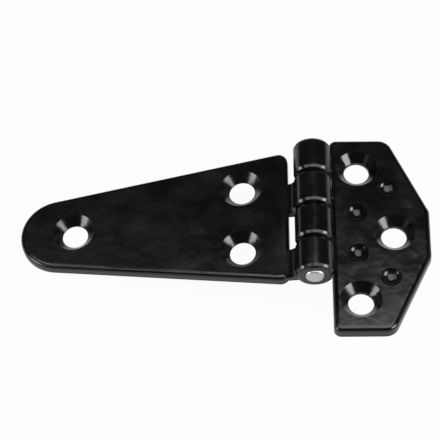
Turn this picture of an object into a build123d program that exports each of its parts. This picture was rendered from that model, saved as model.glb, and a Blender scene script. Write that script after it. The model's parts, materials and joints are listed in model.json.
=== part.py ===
from build123d import *
import os
from math import asin, atan2, cos, degrees, hypot, radians, sin, sqrt, tan

# Offset strap hinge, moulded in plastic, with a steel pin. Sizes are in millimetres.
# The plate lies on its back at z = 0, the pin runs along y, and the strap droops towards -x
# from the raised barrel until its tip touches the surface that the plate lies on.

# Pin and barrel
PIN_DIAMETER = 4.4
PIN_PROUD = 0.3
PIN_EASE = 0.5
PIN_CLEARANCE = 0.06
PIVOT_HEIGHT = 11.6
BARREL_DIAMETER = 8.2
BARREL_LENGTH = 33.2
KNUCKLE_GAP = 0.4
KNUCKLE_EASE = 0.8
WEB_INSET = 0.1
WEB_RELIEF = 0.1
WEB_BEVEL = 0.6

# Screw holes, the same in both leaves
HOLE_DIAMETER = 5.6
COUNTERSINK_DIAMETER = 9.1
COUNTERSINK_ANGLE = 82.0

# Plate leaf: reaches are measured from the pin, along x
PLATE_THICKNESS = 2.8
PLATE_LENGTH = 49.3
PLATE_INNER_REACH = 4.1
PLATE_SHOULDER_REACH = 17.1
PLATE_OUTER_REACH = 25.7
PLATE_NOSE_WIDTH = 11.6
PLATE_INNER_CORNER = 1.6
PLATE_SHOULDER_CORNER = 3.2
PLATE_NOSE_CORNER = 2.5
PLATE_EDGE_ROUND = 1.2
PLATE_PAIR_REACH = 10.1
PLATE_PAIR_SPACING = 33.7
PLATE_MIDDLE_REACH = 17.8
DIMPLE_DIAMETER = 4.6
DIMPLE_DEPTH = 1.5
OUTER_DIMPLE_REACH = 16.7
OUTER_DIMPLE_SPACING = 22.8
INNER_DIMPLE_REACH = 9.8
INNER_DIMPLE_SPACING = 10.4
PLATE_WEB_THICKNESS = 3.0
PLATE_WEB_FILLET = 1.5
PLATE_HEEL_ROUND = 1.5

# Strap leaf: reaches are measured from the pin, along the strap
STRAP_THICKNESS = 2.3
STRAP_BACK_DROP = 2.9
STRAP_WIDTH = 32.3
STRAP_INNER_REACH = 5.6
STRAP_TIP_REACH = 64.3
STRAP_TIP_RADIUS = 8.7
STRAP_CORNER = 2.0
STRAP_EDGE_ROUND = 1.0
STRAP_PAIR_REACH = 15.75
STRAP_PAIR_SPACING = 15.5
STRAP_TIP_HOLE_MARGIN = 11.8
STRAP_WEB_FILLET = 2.4
STRAP_WEB_STEP = 0.4

# Sizes that follow from those above
BARREL_RADIUS = BARREL_DIAMETER / 2
KNUCKLE_COUNT = 4
KNUCKLE_LENGTH = (BARREL_LENGTH - (KNUCKLE_COUNT - 1) * KNUCKLE_GAP) / KNUCKLE_COUNT
KNUCKLE_PITCH = KNUCKLE_LENGTH + KNUCKLE_GAP
RUNNING_BORE = PIN_DIAMETER + 2 * PIN_CLEARANCE
COUNTERSINK_DEPTH = (COUNTERSINK_DIAMETER - HOLE_DIAMETER) / 2 / tan(radians(COUNTERSINK_ANGLE / 2))
STRAP_FACE_DROP = STRAP_BACK_DROP - STRAP_THICKNESS

# Share of an eased corner at which two bevels meet so that they turn by equal angles
BEVEL_SHARE = 0.366

# Droop of the strap, in degrees, at which the back of its tip meets z = 0
DROOP = degrees(
    asin(PIVOT_HEIGHT / hypot(STRAP_TIP_REACH, STRAP_BACK_DROP))
    - atan2(STRAP_BACK_DROP, STRAP_TIP_REACH)
)

# Place of the pin: x = 0 is midway between the tip of the drooping strap and the plate's outer edge
TIP_EXTENT = (
    (STRAP_TIP_REACH - STRAP_EDGE_ROUND) * cos(radians(DROOP))
    - (STRAP_FACE_DROP + STRAP_EDGE_ROUND) * sin(radians(DROOP))
    + STRAP_EDGE_ROUND
)
PIN_X = (TIP_EXTENT - PLATE_OUTER_REACH) / 2


def knuckle_centre(index):
    """Middle of a knuckle along y; knuckle 0 is at the +y end."""
    return BARREL_LENGTH / 2 - KNUCKLE_LENGTH / 2 - index * KNUCKLE_PITCH


def along_y(radius, length):
    """Cylinder about the y axis, centred on the origin."""
    return Rot(90, 0, 0) * Cylinder(radius, length)


def turned(radius, length, ease):
    """Round bar on the y axis: half its section, each corner eased by two bevels, turned about the axis."""
    half = length / 2
    middle = BEVEL_SHARE * ease
    upper = [
        (0, half),
        (radius - ease, half),
        (radius - middle, half - middle),
        (radius, half - ease),
    ]
    lower = [(x, -y) for x, y in reversed(upper)]
    return revolve(make_face(Polyline(*upper, *lower, close=True)), Axis.Y)


def knuckle(index):
    """Solid knuckle at its place along the barrel."""
    return Pos(0, knuckle_centre(index), 0) * turned(BARREL_RADIUS, KNUCKLE_LENGTH, KNUCKLE_EASE)


def web_span(index):
    """Lower and upper ends along y of the web under a knuckle."""
    half = KNUCKLE_LENGTH / 2 - WEB_INSET
    return knuckle_centre(index) - half, knuckle_centre(index) + half


def web(profile, low, high):
    """Profile in the x-z plane, drawn out along y from low to high, with its ends bevelled."""
    body = extrude(Plane.XZ * profile, (high - low) / 2, both=True)
    ends = body.faces().filter_by(Axis.Y)
    body = chamfer(ends.edges(), WEB_BEVEL)
    return Pos(0, (low + high) / 2, 0) * body


def screw_hole(face_height, thickness):
    """Cutter for one countersunk hole on the z axis, entering at face_height."""
    hole = HOLE_DIAMETER / 2
    wide = COUNTERSINK_DIAMETER / 2
    through = Pos(0, 0, face_height - thickness / 2) * Cylinder(hole, 2 * thickness)
    sink = Pos(0, 0, face_height - COUNTERSINK_DEPTH / 2) * Cone(hole, wide, COUNTERSINK_DEPTH)
    return through + sink


def dimple(face_height):
    """Cutter for one round dimple on the z axis: a ball that dips below face_height."""
    ball = (DIMPLE_DIAMETER**2 / 4 + DIMPLE_DEPTH**2) / (2 * DIMPLE_DEPTH)
    return Pos(0, 0, face_height - DIMPLE_DEPTH + ball) * Sphere(ball)


def rounded_slab(outline, thickness, edge_round):
    """Flat outline at z = 0 made thickness high, with the rim of its upper face rounded."""
    slab = extrude(outline, thickness)
    return fillet(slab.faces().sort_by(Axis.Z)[-1].outer_wire().edges(), edge_round)


def plate_outline():
    """Outline of the plate, with x measured from the pin."""
    half = PLATE_LENGTH / 2
    nose = PLATE_NOSE_WIDTH / 2
    sheet = make_face(
        Polyline(
            (PLATE_INNER_REACH, -half),
            (PLATE_SHOULDER_REACH, -half),
            (PLATE_OUTER_REACH, -nose),
            (PLATE_OUTER_REACH, nose),
            (PLATE_SHOULDER_REACH, half),
            (PLATE_INNER_REACH, half),
            close=True,
        )
    )
    sheet = fillet(sheet.vertices().group_by(Axis.X)[0], PLATE_INNER_CORNER)
    shoulder = [v for v in sheet.vertices() if abs(v.X - PLATE_SHOULDER_REACH) < 1e-6]
    sheet = fillet(shoulder, PLATE_SHOULDER_CORNER)
    return fillet(sheet.vertices().group_by(Axis.X)[-1], PLATE_NOSE_CORNER)


def plate_web_profile():
    """Upright web and foot that carry a plate knuckle, drawn about the pin in x and z."""
    outer = BARREL_RADIUS - WEB_RELIEF
    inner = outer - PLATE_WEB_THICKNESS
    back = -PIVOT_HEIGHT
    face = back + PLATE_THICKNESS
    foot = PLATE_INNER_REACH + PLATE_EDGE_ROUND + PLATE_WEB_FILLET
    shape = make_face(
        Polyline(
            (inner, back),
            (foot, back),
            (foot, face),
            (outer, face),
            (outer, 0),
            (inner, 0),
            close=True,
        )
    )
    corners = shape.vertices()
    heel = corners.sort_by_distance(Vector(inner, back))[0]
    shape = fillet(heel, PLATE_HEEL_ROUND)
    bend = shape.vertices().sort_by_distance(Vector(outer, face))[0]
    return fillet(bend, PLATE_WEB_FILLET)


def plate_leaf():
    """Plate with its two knuckles, with the pin on the y axis."""
    back = -PIVOT_HEIGHT
    face = back + PLATE_THICKNESS
    leaf = Pos(0, 0, back) * rounded_slab(plate_outline(), PLATE_THICKNESS, PLATE_EDGE_ROUND)
    for index in (0, 2):
        leaf += web(plate_web_profile(), *web_span(index))
        leaf += knuckle(index)
    for side in (-1, 1):
        leaf -= Pos(PLATE_PAIR_REACH, side * PLATE_PAIR_SPACING / 2, 0) * screw_hole(face, PLATE_THICKNESS)
        leaf -= Pos(OUTER_DIMPLE_REACH, side * OUTER_DIMPLE_SPACING / 2, 0) * dimple(face)
        leaf -= Pos(INNER_DIMPLE_REACH, side * INNER_DIMPLE_SPACING / 2, 0) * dimple(face)
    leaf -= Pos(PLATE_MIDDLE_REACH, 0, 0) * screw_hole(face, PLATE_THICKNESS)
    return leaf - along_y(PIN_DIAMETER / 2, 2 * BARREL_LENGTH)


def strap_outline():
    """Outline of the strap: straight sides tangent to the round tip and to the two corners."""
    tip = Pos(STRAP_TIP_RADIUS - STRAP_TIP_REACH, 0) * Circle(STRAP_TIP_RADIUS)
    rounds = [tip.edge()]
    for side in (-1, 1):
        place = Pos(-STRAP_INNER_REACH - STRAP_CORNER, side * (STRAP_WIDTH / 2 - STRAP_CORNER))
        rounds.append((place * Circle(STRAP_CORNER)).edge())
    return make_hull(rounds)


def strap_web_profile():
    """Web as thick as the strap, blended into the knuckle above it, drawn about the pin in x and z."""
    face = -STRAP_FACE_DROP
    back = -STRAP_BACK_DROP
    far = -STRAP_INNER_REACH - STRAP_EDGE_ROUND - STRAP_WEB_FILLET
    meet = BARREL_RADIUS - WEB_RELIEF
    rise = face + STRAP_WEB_FILLET
    start = -sqrt((meet + STRAP_WEB_FILLET) ** 2 - rise**2)
    share = meet / (meet + STRAP_WEB_FILLET)
    top = (start * share, rise * share)
    blend = TangentArc((start, face), top, tangent=(1, 0))
    sides = Polyline(top, (0, rise * share), (0, back), (far, back), (far, face), (start, face))
    return make_face([blend, *sides.edges()])


def strap_leaf():
    """Strap with its two knuckles, lying level, with the pin on the y axis."""
    face = -STRAP_FACE_DROP
    leaf = Pos(0, 0, -STRAP_BACK_DROP) * rounded_slab(strap_outline(), STRAP_THICKNESS, STRAP_EDGE_ROUND)
    for index in (1, 3):
        low, high = web_span(index)
        leaf += web(strap_web_profile(), max(low, STRAP_WEB_STEP - STRAP_WIDTH / 2), high)
        leaf += knuckle(index)
    for side in (-1, 1):
        leaf -= Pos(-STRAP_PAIR_REACH, side * STRAP_PAIR_SPACING / 2, 0) * screw_hole(face, STRAP_THICKNESS)
    leaf -= Pos(STRAP_TIP_HOLE_MARGIN - STRAP_TIP_REACH, 0, 0) * screw_hole(face, STRAP_THICKNESS)
    return leaf - along_y(RUNNING_BORE / 2, 2 * BARREL_LENGTH)


def hinge_pin():
    """Pin on the y axis, a little proud of the barrel at both ends."""
    return turned(PIN_DIAMETER / 2, BARREL_LENGTH + 2 * PIN_PROUD, PIN_EASE)


PIN_PLACE = Pos(PIN_X, 0, PIVOT_HEIGHT)
os.makedirs("parts", exist_ok=True)
export_step(PIN_PLACE * plate_leaf(), "parts/plate_leaf.step")
export_step(PIN_PLACE * Rot(0, -DROOP, 0) * strap_leaf(), "parts/strap_leaf.step")
export_step(PIN_PLACE * hinge_pin(), "parts/hinge_pin.step")
print("pin at x", round(PIN_X, 4), "height", PIVOT_HEIGHT, "droop", round(DROOP, 4))
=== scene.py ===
import json
import math

import bpy
import numpy as np
from mathutils import Matrix, Vector

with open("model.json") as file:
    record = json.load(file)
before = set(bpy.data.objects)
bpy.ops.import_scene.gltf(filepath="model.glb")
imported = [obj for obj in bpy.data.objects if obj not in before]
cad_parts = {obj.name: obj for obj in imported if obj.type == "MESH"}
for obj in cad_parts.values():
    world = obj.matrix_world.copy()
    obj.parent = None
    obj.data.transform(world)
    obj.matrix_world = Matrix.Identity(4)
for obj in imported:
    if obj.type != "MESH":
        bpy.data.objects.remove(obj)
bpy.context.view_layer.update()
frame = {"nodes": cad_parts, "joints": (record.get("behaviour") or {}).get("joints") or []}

MM = 0.001
PIN_PLACE = Vector(frame["joints"][0]["pos_m"])

# Black nylon: colours, roughness and shine, where 0.575 is that of an IOR of about 1.55
NYLON_DARK = "#030303"
NYLON_LIGHT = "#0e0e0f"
NYLON_SMOOTH = 0.12
NYLON_ROUGH = 0.26
NYLON_SPECULAR = 0.575
# Levels between which most of a noise pattern lies
NOISE_LOW = 0.3
NOISE_HIGH = 0.7
# Black nylon: widths and heights of its patterns, in millimetres
FLOW_CLOUD = 7.0
SHRINK_WAVE = 5.0
SHRINK_HEIGHT = 0.12
# The tool's grain is about 0.1 mm wide; it is drawn wider so that it shows at 4.6 pixels to the millimetre
TOOL_GRAIN = 0.45
TOOL_GRAIN_HEIGHT = 0.02

# Steel pin: colours and roughness
STEEL_DARK = "#c3c2c0"
STEEL_LIGHT = "#d6d5d3"
STEEL_SMOOTH = 0.28
STEEL_ROUGH = 0.45
# Steel pin: width of its drawing lines, in millimetres, and their length in widths
DRAWING_LINE = 0.15
DRAWING_LINE_WIDTHS = 50
# Cut rings on the pin's ends are about 0.1 mm apart; they are drawn wider apart so that they show
CUT_RING = 0.6
CUT_RING_HEIGHT = 0.02
# Distance at which Blender's wave texture repeats at scale 1
WAVE_REPEAT = math.pi / 10

# Floor: colours, width of the paper's fibre clumps in millimetres, half its side in metres, and the points
# along a side
PAPER_DARK = "#d4d4d4"
PAPER_LIGHT = "#dbdbdb"
PAPER_FIBRE = 2.0
FLOOR_REACH = 4.0
FLOOR_POINTS = 3
# Share of the floor that is lifted to white, for the eye and in reflections; the rest keeps the shadow
EYE_LIFT = 0.95
MIRROR_LIFT = 0.15

# Radiance of the room, where 1 is white
ROOM_LEVEL = 0.04
# Oval lights: place, target, width and height in metres, and radiance
LIGHTS = (
    # Main light: the sheen on the plate, in the dimples and down the barrel
    ("light_above", (0.05, -0.028, 0.3), (0.05, -0.028, 0.0), 0.33, 0.365, 2.4),
    # Line on the strap's front edge near the tip
    ("light_upper_left", (-0.22, 0.035, 0.3), (-0.22, 0.035, 0.0), 0.14, 0.2, 2.6),
    # Sides of the arcs on the knuckles' rims, and from the left the line along the strap's front edge
    ("light_front_left", (-0.215, -0.165, 0.3), (-0.215, -0.165, 0.0), 0.24, 0.1, 2.6),
    ("light_front_right", (0.255, -0.165, 0.3), (0.255, -0.165, 0.0), 0.24, 0.1, 2.6),
    # Bright patches in the countersinks, on the walls that face the light
    ("light_left", (-0.431, -0.174, 0.085), (0.0, 0.0, 0.085), 0.29, 0.165, 6.9),
    ("light_right", (0.418, -0.204, 0.183), (0.0, 0.0, 0.0), 0.3, 0.2, 9.0),
    # Faint sheen on the strap's face
    ("card_over_strap", (-0.15, 0.12, 0.31), (-0.15, 0.12, 0.0), 0.2, 0.15, 0.28),
)

# Camera, in degrees and millimetres, with the photograph's scale at the aim
CAMERA_AZIMUTH = 0.370
CAMERA_ELEVATION = 57.0
CAMERA_ROLL = 0.738
CAMERA_DISTANCE = 585.5
CAMERA_AIM = (-1.224, 3.124, 3.4)
PIXELS_PER_MM = 4.586
PICTURE_WIDTH = 440
SENSOR_WIDTH = 36.0
# Nearest and farthest distance that the camera sees, in metres
SIGHT_NEAR = 0.01
SIGHT_FAR = 20.0


def linear(code):
    """sRGB hex to linear RGBA: each channel is undone by the sRGB curve."""
    channel = np.array([int(code[i:i + 2], 16) for i in (1, 3, 5)]) / 255
    low = channel / 12.92
    high = ((channel + 0.055) / 1.055) ** 2.4
    return (*np.where(channel <= 0.04045, low, high).tolist(), 1.0)


def node(tree, kind, inputs=None, **settings):
    """Add one shader node.

    Settings are its properties. Inputs gives its sockets, by name or number, a value or another node's
    output.
    """
    made = tree.nodes.new("ShaderNode" + kind)
    for name, value in settings.items():
        setattr(made, name, value)
    for socket, value in (inputs or {}).items():
        if isinstance(value, bpy.types.NodeSocket):
            tree.links.new(value, made.inputs[socket])
        else:
            made.inputs[socket].default_value = value
    return made


def blank(name):
    """An empty material with its output node."""
    material = bpy.data.materials.new(name)
    material.use_nodes = True
    material.node_tree.nodes.clear()
    return material, material.node_tree, node(material.node_tree, "OutputMaterial")


def per_metre(size_mm):
    """Texture scale at which one feature of the pattern is size_mm wide."""
    return 1 / (size_mm * MM)


def black_nylon():
    """Glass-filled black nylon, moulded in a fine-spark-eroded tool.

    The eye gets a deep neutral black with a satin shine that is a little uneven: the melt's flow leaves
    cloudy patches a few millimetres wide, shrinkage leaves the faces slightly wavy, and the tool's grain
    breaks up the edge of each highlight.
    """
    material, tree, output = blank("black_nylon_moulded_satin")
    place = node(tree, "TexCoord").outputs["Object"]
    cloud = node(
        tree,
        "TexNoise",
        {"Vector": place, "Scale": per_metre(FLOW_CLOUD), "Detail": 3.0, "Roughness": 0.6},
    ).outputs["Fac"]
    colour = node(
        tree,
        "Mix",
        {"Factor": cloud, "A": linear(NYLON_DARK), "B": linear(NYLON_LIGHT)},
        data_type="RGBA",
    ).outputs["Result"]
    gloss = node(
        tree,
        "MapRange",
        {
            "Value": cloud,
            "From Min": NOISE_LOW,
            "From Max": NOISE_HIGH,
            "To Min": NYLON_SMOOTH,
            "To Max": NYLON_ROUGH,
        },
    ).outputs["Result"]
    # Shrinkage as the moulding cools leaves the faces wavy by a few hundredths of a millimetre.
    wave = node(
        tree,
        "TexNoise",
        {"Vector": place, "Scale": per_metre(SHRINK_WAVE), "Detail": 2.0, "Roughness": 0.5},
    ).outputs["Fac"]
    shrunk = node(
        tree, "Bump", {"Height": wave, "Strength": 1.0, "Distance": SHRINK_HEIGHT * MM}
    ).outputs["Normal"]
    grain = node(
        tree,
        "TexNoise",
        {"Vector": place, "Scale": per_metre(TOOL_GRAIN), "Detail": 2.0, "Roughness": 0.5},
    ).outputs["Fac"]
    relief = node(
        tree,
        "Bump",
        {"Height": grain, "Normal": shrunk, "Strength": 0.25, "Distance": TOOL_GRAIN_HEIGHT * MM},
    ).outputs["Normal"]
    shader = node(
        tree,
        "BsdfPrincipled",
        {
            "Base Color": colour,
            "Roughness": gloss,
            "Normal": relief,
            "Specular IOR Level": NYLON_SPECULAR,
        },
    )
    tree.links.new(shader.outputs["BSDF"], output.inputs["Surface"])
    return material


def drawn_steel():
    """Stainless steel rod, cold drawn and cut off.

    The eye gets a bright, slightly warm grey metal with fine lines along the rod and faint rings on its
    cut ends.
    """
    material, tree, output = blank("stainless_steel_drawn")
    place = node(tree, "TexCoord").outputs["Object"]
    centred = node(
        tree, "Mapping", {"Vector": place, "Location": -PIN_PLACE}, vector_type="POINT"
    ).outputs["Vector"]
    along = node(
        tree, "Mapping", {"Vector": centred, "Scale": (1.0, 1 / DRAWING_LINE_WIDTHS, 1.0)}
    ).outputs["Vector"]
    lines = node(
        tree, "TexNoise", {"Vector": along, "Scale": per_metre(DRAWING_LINE), "Detail": 2.0}
    ).outputs["Fac"]
    rings = node(
        tree,
        "TexWave",
        {
            "Vector": centred,
            "Scale": per_metre(CUT_RING) * WAVE_REPEAT,
            "Distortion": 1.5,
            "Detail": 2.0,
        },
        wave_type="RINGS",
        rings_direction="Y",
    ).outputs["Fac"]
    gloss = node(
        tree, "MapRange", {"Value": lines, "To Min": STEEL_SMOOTH, "To Max": STEEL_ROUGH}
    ).outputs["Result"]
    relief = node(
        tree, "Bump", {"Height": rings, "Strength": 0.2, "Distance": CUT_RING_HEIGHT * MM}
    ).outputs["Normal"]
    tint = node(
        tree,
        "Mix",
        {"Factor": lines, "A": linear(STEEL_DARK), "B": linear(STEEL_LIGHT)},
        data_type="RGBA",
    ).outputs["Result"]
    shader = node(
        tree,
        "BsdfPrincipled",
        {"Base Color": tint, "Roughness": gloss, "Normal": relief, "Metallic": 1.0},
    )
    tree.links.new(shader.outputs["BSDF"], output.inputs["Surface"])
    return material


def pale_floor():
    """Matt white studio paper: it scatters light evenly and takes the shadow.

    The eye sees it lifted almost to white. Mirrors and glass see it lifted less.
    """
    material, tree, output = blank("paper_white_matt")
    place = node(tree, "TexCoord").outputs["Object"]
    fibre = node(
        tree, "TexNoise", {"Vector": place, "Scale": per_metre(PAPER_FIBRE), "Detail": 3.0}
    ).outputs["Fac"]
    tone = node(
        tree,
        "Mix",
        {"Factor": fibre, "A": linear(PAPER_DARK), "B": linear(PAPER_LIGHT)},
        data_type="RGBA",
    ).outputs["Result"]
    paper = node(tree, "BsdfDiffuse", {"Color": tone}).outputs["BSDF"]
    white = node(tree, "Emission", {"Strength": 1.0}).outputs["Emission"]
    path = node(tree, "LightPath").outputs
    seen = node(
        tree, "Math", {0: path["Is Camera Ray"], 1: EYE_LIFT}, operation="MULTIPLY"
    ).outputs["Value"]
    mirrored = node(
        tree, "Math", {0: path["Is Glossy Ray"], 1: path["Is Transmission Ray"]}, operation="MAXIMUM"
    ).outputs["Value"]
    dimmed = node(
        tree, "Math", {0: mirrored, 1: MIRROR_LIFT}, operation="MULTIPLY"
    ).outputs["Value"]
    share = node(tree, "Math", {0: seen, 1: dimmed}, operation="MAXIMUM").outputs["Value"]
    lifted = node(tree, "MixShader", {0: share, 1: paper, 2: white})
    tree.links.new(lifted.outputs["Shader"], output.inputs["Surface"])
    return material


def floor_sheet():
    """The floor: a flat square at z = 0, with its points at equal steps in x and in y."""
    step = np.linspace(-FLOOR_REACH, FLOOR_REACH, FLOOR_POINTS)
    x, y = np.meshgrid(step, step, indexing="ij")
    points = np.stack([x, y, np.zeros_like(x)], axis=-1).reshape(-1, 3)
    number = np.arange(FLOOR_POINTS**2).reshape(FLOOR_POINTS, FLOOR_POINTS)
    corners = (number[:-1, :-1], number[1:, :-1], number[1:, 1:], number[:-1, 1:])
    faces = np.stack(corners, axis=-1).reshape(-1, 4)
    mesh = bpy.data.meshes.new("floor")
    mesh.from_pydata(points.tolist(), [], faces.tolist())
    sheet = bpy.data.objects.new("floor", mesh)
    bpy.context.scene.collection.objects.link(sheet)
    mesh.materials.append(pale_floor())


def softbox(name, place, target, width, height, radiance):
    """An oval soft light at place, turned to target. Its power is radiance times pi times the oval's area."""
    lamp = bpy.data.lights.new(name, "AREA")
    lamp.shape = "ELLIPSE"
    lamp.size = width
    lamp.size_y = height
    area = math.pi / 4 * width * height
    lamp.energy = radiance * math.pi * area
    holder = bpy.data.objects.new(name, lamp)
    holder.location = place
    aim = Vector(target) - Vector(place)
    holder.rotation_mode = "QUATERNION"
    holder.rotation_quaternion = aim.to_track_quat("-Z", "Y")
    bpy.context.scene.collection.objects.link(holder)


def studio():
    """A dim grey room with five oval lights overhead and one at each side."""
    world = bpy.data.worlds.new("room")
    world.use_nodes = True
    tree = world.node_tree
    tree.nodes.clear()
    output = node(tree, "OutputWorld")
    grey = node(tree, "Background", {"Color": (1.0, 1.0, 1.0, 1.0), "Strength": ROOM_LEVEL})
    tree.links.new(grey.outputs["Background"], output.inputs["Surface"])
    bpy.context.scene.world = world
    for light in LIGHTS:
        softbox(*light)


def camera():
    """Long lens in front of and above the hinge, rolled slightly as in the photograph."""
    azimuth = math.radians(CAMERA_AZIMUTH)
    elevation = math.radians(CAMERA_ELEVATION)
    roll = math.radians(CAMERA_ROLL)
    back = Vector(
        (
            math.sin(azimuth) * math.cos(elevation),
            -math.cos(azimuth) * math.cos(elevation),
            math.sin(elevation),
        )
    )
    level = Vector((math.cos(azimuth), math.sin(azimuth), 0.0))
    upright = back.cross(level)
    right = level * math.cos(roll) - upright * math.sin(roll)
    up = level * math.sin(roll) + upright * math.cos(roll)
    data = bpy.data.cameras.new("camera")
    data.sensor_width = SENSOR_WIDTH
    data.lens = PIXELS_PER_MM * CAMERA_DISTANCE * SENSOR_WIDTH / PICTURE_WIDTH
    data.clip_start = SIGHT_NEAR
    data.clip_end = SIGHT_FAR
    holder = bpy.data.objects.new("camera", data)
    turn = Matrix((right, up, back)).transposed()
    place = Vector(CAMERA_AIM) * MM + back * CAMERA_DISTANCE * MM
    holder.matrix_world = Matrix.Translation(place) @ turn.to_4x4()
    bpy.context.scene.collection.objects.link(holder)
    bpy.context.scene.camera = holder


nylon = black_nylon()
steel = drawn_steel()
for name, finish in (("plate_leaf", nylon), ("strap_leaf", nylon), ("hinge_pin", steel)):
    piece = frame["nodes"][name]
    piece.data.materials.clear()
    piece.data.materials.append(finish)

floor_sheet()
studio()
camera()
bpy.context.scene.view_settings.view_transform = "Standard"
